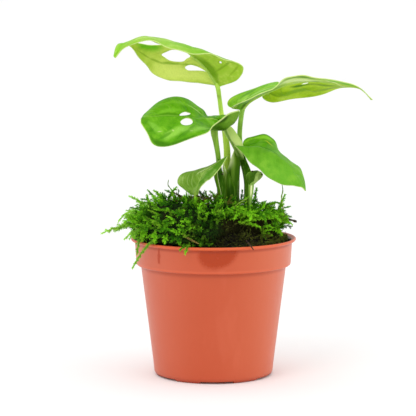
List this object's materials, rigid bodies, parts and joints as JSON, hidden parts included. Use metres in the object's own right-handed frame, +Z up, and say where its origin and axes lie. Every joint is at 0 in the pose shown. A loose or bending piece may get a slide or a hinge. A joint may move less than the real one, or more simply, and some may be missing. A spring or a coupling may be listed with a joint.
{
  "type": "potted swiss cheese vine",
  "caption": "Young swiss cheese vine with arched, holed leaves on slim petioles, growing from a mossy root ball in a plastic nursery pot.",
  "frame": {"origin": "centre of the flat pad under the pot, on the surface that the pot stands on", "axes": "+Z up along the pot's axis, -Y towards the viewer of the picture, +X to the picture's right"},
  "size_m": [0.1937, 0.1235, 0.2485],
  "materials": {
    "pot_plastic": "terracotta coloured moulded plastic, satin, with soft pale reflections at its sides",
    "peat": "moist dark brown peat, crumbly and rough",
    "green_moss": "living feathery moss, bright at the tips and dark between the fronds",
    "dry_moss": "dead olive brown moss in loose strands",
    "dead_wood": "thin brown twig with dull bark",
    "petiole_skin": "smooth light green stalk with a soft sheen",
    "leaf_blade": "satin green upper side with sunken veins, and a paler yellow green underside"
  },
  "bodies": {
    "root": {"pot": "pot_plastic", "soil": "peat", "moss_green": "green_moss", "moss_dry": "dry_moss", "twig_right": "dead_wood", "twig_front": "dead_wood", "petiole_tall_branched": "petiole_skin", "petiole_mid_left": "petiole_skin", "petiole_right": "petiole_skin", "sheath_middle": "petiole_skin", "petiole_small": "petiole_skin", "petiole_young": "petiole_skin", "leaf_top_left": "leaf_blade", "leaf_mid_left": "leaf_blade", "leaf_right": "leaf_blade", "leaf_lower_right": "leaf_blade", "leaf_small": "leaf_blade", "leaf_young": "leaf_blade"}
  },
  "joints": []
}
